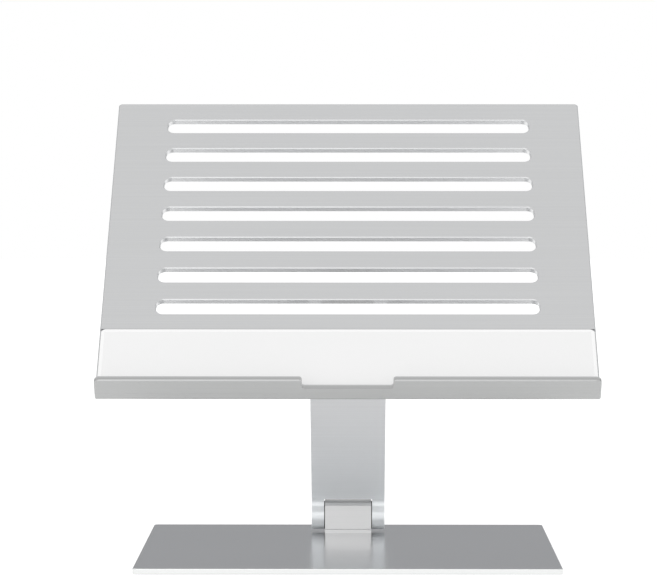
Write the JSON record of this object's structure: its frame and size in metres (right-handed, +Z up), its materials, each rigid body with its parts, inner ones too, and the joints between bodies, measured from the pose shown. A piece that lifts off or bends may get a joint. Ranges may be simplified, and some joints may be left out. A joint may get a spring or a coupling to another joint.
{
  "type": "laptop stand",
  "caption": "Desk stand that holds a laptop at eye level: a slotted sloping tray with a padded front lip on a folding friction arm over a flat base.",
  "frame": {"origin": "middle of the bounding box in X and Y, on the desk under the feet", "axes": "+X to the user's right across the tray, -Y towards the user, +Z up; the stand is stored standing at the pictured opening"},
  "size_m": [0.26, 0.2009, 0.2455],
  "materials": {
    "base_steel": "satin",
    "tray_aluminium": "satin",
    "arm_aluminium": "satin",
    "hinge_metal": "satin",
    "cap_metal": "satin",
    "hardware_steel": "zinc plated",
    "spring_steel": "oiled",
    "washer_plastic": "matt",
    "pad_silicone": "matt light grey silicone",
    "foot_silicone": "matt"
  },
  "bodies": {
    "base": {"base_plate": "base_steel", "base_feet": "foot_silicone", "lower_hinge_block": "hinge_metal", "lower_block_screws": "hardware_steel", "lower_hinge_bolt": "hardware_steel", "lower_hinge_nut": "hardware_steel", "lower_disc_springs": "spring_steel", "lower_friction_washers": "washer_plastic"},
    "arm": {"arm": "arm_aluminium", "lower_hinge_caps": "cap_metal", "upper_hinge_caps": "cap_metal"},
    "tray": {"upper_hinge_bracket": "hinge_metal", "upper_bracket_screws": "hardware_steel", "upper_hinge_bolt": "hardware_steel", "upper_hinge_nut": "hardware_steel", "upper_disc_springs": "spring_steel", "upper_friction_washers": "washer_plastic", "tray_panel": "tray_aluminium", "tray_pad": "pad_silicone", "lip_pad_left": "pad_silicone", "lip_pad_right": "pad_silicone"}
  },
  "joints": [
    {"name": "arm_hinge", "type": "hinge", "parent": "base", "child": "arm", "pos_m": [0, 0.07042, 0.0137], "axis": [-1, 0, 0], "range_deg": [-46.3, 5]},
    {"name": "tray_hinge", "type": "hinge", "parent": "arm", "child": "tray", "pos_m": [0, -0.03475, 0.12392], "axis": [1, 0, 0], "range_deg": [-85.9, 14]}
  ]
}
